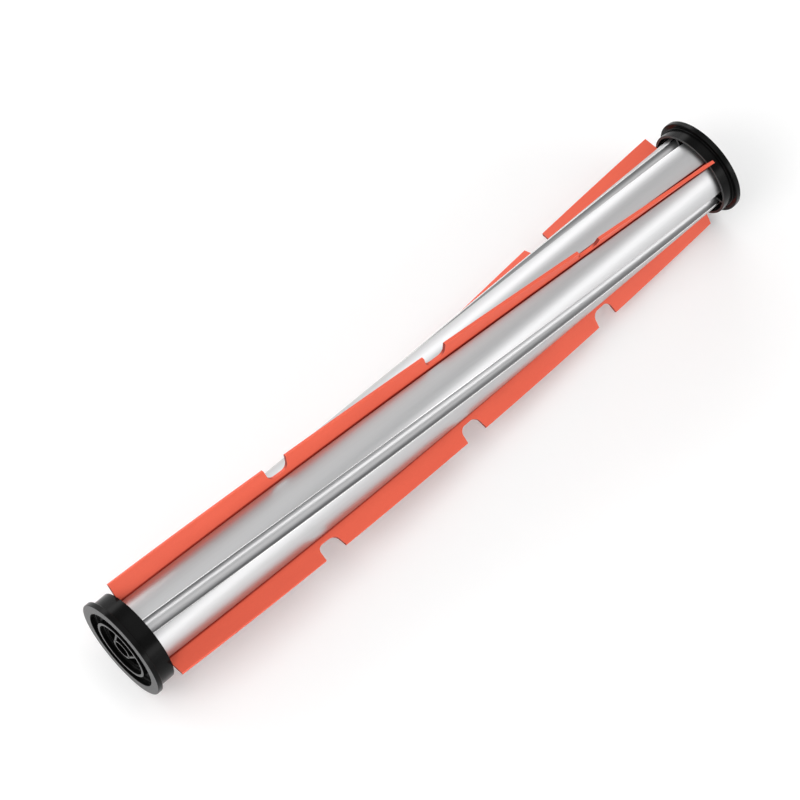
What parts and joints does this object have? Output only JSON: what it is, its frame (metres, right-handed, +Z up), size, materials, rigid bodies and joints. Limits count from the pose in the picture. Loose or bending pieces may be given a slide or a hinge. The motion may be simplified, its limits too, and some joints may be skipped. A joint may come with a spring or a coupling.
{
  "type": "vacuum cleaner roller brush",
  "caption": "Beater roller for a vacuum floor head: twisted aluminium core, flexible helical blades with notches, a keyed drive cap and an idler cap with bearing and stub axle.",
  "frame": {"origin": "on the floor, under the middle of the whole length, straight below the roller's axis", "axes": "+X along the roller's axis from the drive cap to the idler cap, +Z up, the roller lying on two of its blades and the idler flange"},
  "size_m": [0.299, 0.0466, 0.0454],
  "materials": {
    "extrusion": "satin, drawn along the extrusion",
    "blade_rubber": "matt moulded rubber",
    "cap_plastic": "moulded, semi-gloss",
    "bearing_steel": "ground",
    "ball_steel": "polished",
    "cage_plastic": "moulded nylon",
    "shield_steel": "pressed",
    "axle_steel": "turned",
    "washer_steel": "zinc plated",
    "clip_steel": "blackened spring steel",
    "felt": "pressed felt"
  },
  "bodies": {
    "roller": {"core": "extrusion", "blade_a": "blade_rubber", "blade_b": "blade_rubber", "blade_c": "blade_rubber", "drive_cap": "cap_plastic", "idler_cap": "cap_plastic", "bearing_outer_ring": "bearing_steel", "bearing_shield_inner": "shield_steel", "bearing_shield_outer": "shield_steel", "hair_seal": "felt"},
    "stub_axle": {"axle": "axle_steel", "bearing_inner_ring": "bearing_steel", "spacer_washer": "washer_steel", "axle_clip": "clip_steel"},
    "ball_set": {"bearing_balls": "ball_steel", "bearing_cage": "cage_plastic"}
  },
  "joints": [
    {"name": "axle_turn", "type": "hinge", "parent": "roller", "child": "stub_axle", "pos_m": [0.1374, 0, 0.02206], "axis": [1, 0, 0], "continuous": true},
    {"name": "ball_set_turn", "type": "hinge", "parent": "roller", "child": "ball_set", "pos_m": [0.1374, 0, 0.02206], "axis": [1, 0, 0], "continuous": true}
  ],
  "couplings": [
    {"joint": "ball_set_turn", "follows": "axle_turn", "ratio": 0.41667}
  ]
}
